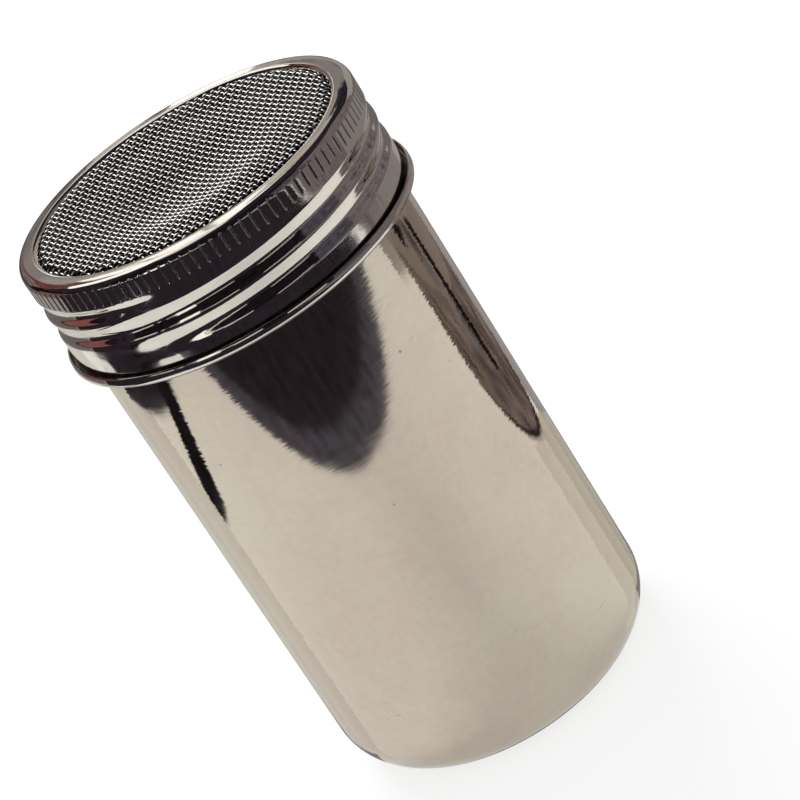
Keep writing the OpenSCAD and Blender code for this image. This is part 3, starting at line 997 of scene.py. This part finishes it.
def build_room():
    """The room: dark in front, warm on the left, grey on the right and behind, with bright windows."""
    room_wall("front", (-172, -22), (-6, 62), BLACK)
    room_wall("left", (172, 188), (-6, 62), DARK)
    room_wall("left_dark", (126, 172), (-6, 26), BLACK)
    rust = [(137, 1), (150, 1.5), (163, 3), (172, 6), (166, 9.5), (157, 11.5), (147, 12), (137, 10)]
    for i, part in enumerate((rust[:5], [rust[0], *rust[4:]])):
        upright_card(f"left_rust_{i}", [on_wall(*corner, ROOM - 10) for corner in part], RUST, 1.2)
    room_wall("rim_rust", (99, 130), (20, 38), RUST, 0.8)
    room_wall("right", (-22, 40), (-6, 45), TAUPE)
    room_wall("right_back", (40, 76), (-6, 26), GREY)
    # What the crowned flange mirrors: its far side below, its near side above
    room_wall("back_low", (76, 126), (-6, 8), DARK)
    room_wall("back_right", (76, 88.4), (8, 19.5), GREY)
    room_wall("back_pause", (88.4, 90.3), (8, 19.5), GREY)
    room_wall("back_edge", (84, 91), (8, 12), BLACK, 1.0, ROOM - 5)
    glare = [(85.9, 11.2), (90, 11.2), (90.4, 23.8), (88.5, 23.8)]
    upright_card("glare", [on_wall(*corner, ROOM - 10) for corner in glare], WHITE, 1.9)
    room_wall("back_gap", (90.3, 91.3), (8, 19.5), TAUPE)
    room_wall("back_pale", (91.3, 93.6), (8, 18), SHADE)
    room_wall("back_left", (93.6, 126), (8, 19.5), TAUPE)
    room_wall("back_high", (76, 126), (19.5, 22), TAUPE)
    room_wall("sill_low", (76, 126), (22, 26), MIDDLE)
    room_wall("sill", (84, 101), (26, 30), GREY)
    room_wall("window", (88.3, 98.5), (30, 66), WHITE, 1.5)
    room_wall("window_left", (98.5, 140), (40, 66), WHITE, 1.5)
    room_wall("window_right", (80, 88.3), (42, 66), WHITE, 1.5)
    skylight = [(300, 1500), (-1050, 1150), (-900, -100), (100, -100)]
    floor_card("skylight", skylight, WHITE, SKYLIGHT_HEIGHT)
    for i, azimuth in enumerate((91.6, 95.4)):
        room_wall(f"mullion_{i}", (azimuth - 0.35, azimuth + 0.35), (30, 66), GREY, 1.0, ROOM - 10)
    room_wall("window_edge", (82, 88.3), (30, 38), SHADE)
    room_wall("above_right", (-22, 90), (26, 70), DARK, 1.0, ROOM + 20)
    room_wall("above_left", (98, 188), (26, 70), DARK, 1.0, ROOM + 20)
    room_wall("front_right", (-52, -22), (-6, 40), DUSK, 1.0, ROOM - 5)
    # Bright things in front, which the hem and the grooves stretch into streaks
    for i, (low, high, bottom, height, level) in enumerate((
            (-171.6, -155, 3, 9, 0.8), (-152.4, -149, 3, 8, 0.8), (-146, -118, 6, 9, 0.8),
            (-140, -126, 2, 17, 1.4), (-118, -99.6, 3, 8, 0.8), (-82.8, -56.4, 3, 8, 0.7))):
        room_wall(f"bright_{i}", (low, high), (bottom, height), WHITE, level, ROOM - 15)
    floor_card("ceiling", square(CEILING_REACH), DARK, CEILING_HEIGHT)


# ---------------------------------------------------------------- operators


class BuildCan(Operator):
    """Build the drawn can with its threaded neck"""

    bl_idname = "shaker.build_can"
    bl_label = "Build can"

    def execute(self, context):
        piece = build_can(context.scene)
        steel = satin_steel("can_steel", context.scene.shaker_finish)
        finish_piece(piece, steel, "can", "can_steel", "body_can")
        return {"FINISHED"}


class BuildLid(Operator):
    """Build the pressed lid with its notched band, grooves and hem"""

    bl_idname = "shaker.build_lid"
    bl_label = "Build lid"

    def execute(self, context):
        finish = context.scene.shaker_finish
        piece = build_lid(context.scene)
        steel = polished_steel("lid_steel", finish.lid_colour, finish.lid_roughness, finish.grime_and_shade_colour)
        finish_piece(piece, steel, "lid", "lid_steel", "lid_shell")
        return {"FINISHED"}


class BuildSieve(Operator):
    """Build both families of the sieve's woven wires"""

    bl_idname = "shaker.build_sieve"
    bl_label = "Build sieve"

    def execute(self, context):
        sieve, finish = context.scene.shaker_sieve, context.scene.shaker_finish
        steel = wire_steel("wire_steel", finish.wire_colour, finish.wire_roughness, finish.dust_and_shade_colour)
        upper = build_wires("upper_wires", sieve, sieve.weave, sieve.upper_crimp, 1, UPPER_DUST_AND_SHADE_ENDS)
        finish_piece(upper, steel, "lid", "sieve_wire", "screen_warp_wires")
        across = sieve.weave + math.pi / 2
        lower = build_wires("lower_wires", sieve, across, sieve.lower_crimp, -1, LOWER_DUST_AND_SHADE_ENDS)
        finish_piece(lower, steel, "lid", "sieve_wire", "screen_weft_wires")
        return {"FINISHED"}


class FinishRing(Operator):
    """Give the retaining ring its steel"""

    bl_idname = "shaker.finish_ring"
    bl_label = "Finish ring"

    def execute(self, context):
        finish = context.scene.shaker_finish
        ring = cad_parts["retaining_ring"]
        roughness = finish.lid_roughness + finish.ring_wear
        steel = polished_steel("ring_steel", finish.lid_colour, roughness, finish.grime_and_shade_colour)
        ring.data.materials.clear()
        ring.data.materials.append(steel)
        return {"FINISHED"}


class BuildStudio(Operator):
    """Build the floor, the reflection cards, the lights and the camera"""

    bl_idname = "shaker.build_studio"
    bl_label = "Build studio"

    def execute(self, context):
        studio = context.scene.shaker_studio
        context.scene.view_settings.view_transform = "Standard"
        place_camera(studio)
        build_world()
        build_floor(studio)
        build_table(studio)
        build_neighbours()
        build_room()
        build_lamps(studio)
        return {"FINISHED"}


OPERATORS = (BuildCan, BuildLid, BuildSieve, FinishRing, BuildStudio)


class ShakerPanel(Panel):
    """Lists the shaker's operators."""

    bl_label = "Shaker can"
    bl_idname = "VIEW3D_PT_shaker"
    bl_space_type = "VIEW_3D"
    bl_region_type = "UI"
    bl_category = "Shaker"

    def draw(self, context):
        for operator in OPERATORS:
            self.layout.operator(operator.bl_idname)


CLASSES = (*GROUPS.values(), *OPERATORS, ShakerPanel)


def register():
    """Registers the classes and gives each scene its sizes and colours."""
    for cls in CLASSES:
        bpy.utils.register_class(cls)
    for name, group in GROUPS.items():
        setattr(bpy.types.Scene, name, PointerProperty(type=group))


def unregister():
    """Takes back what register did."""
    for name in GROUPS:
        delattr(bpy.types.Scene, name)
    for cls in reversed(CLASSES):
        bpy.utils.unregister_class(cls)


def main():
    """Builds every piece and the studio."""
    register()
    bpy.ops.shaker.build_can()
    bpy.ops.shaker.build_lid()
    bpy.ops.shaker.build_sieve()
    bpy.ops.shaker.finish_ring()
    bpy.ops.shaker.build_studio()


if __name__ == "__main__":
    main()
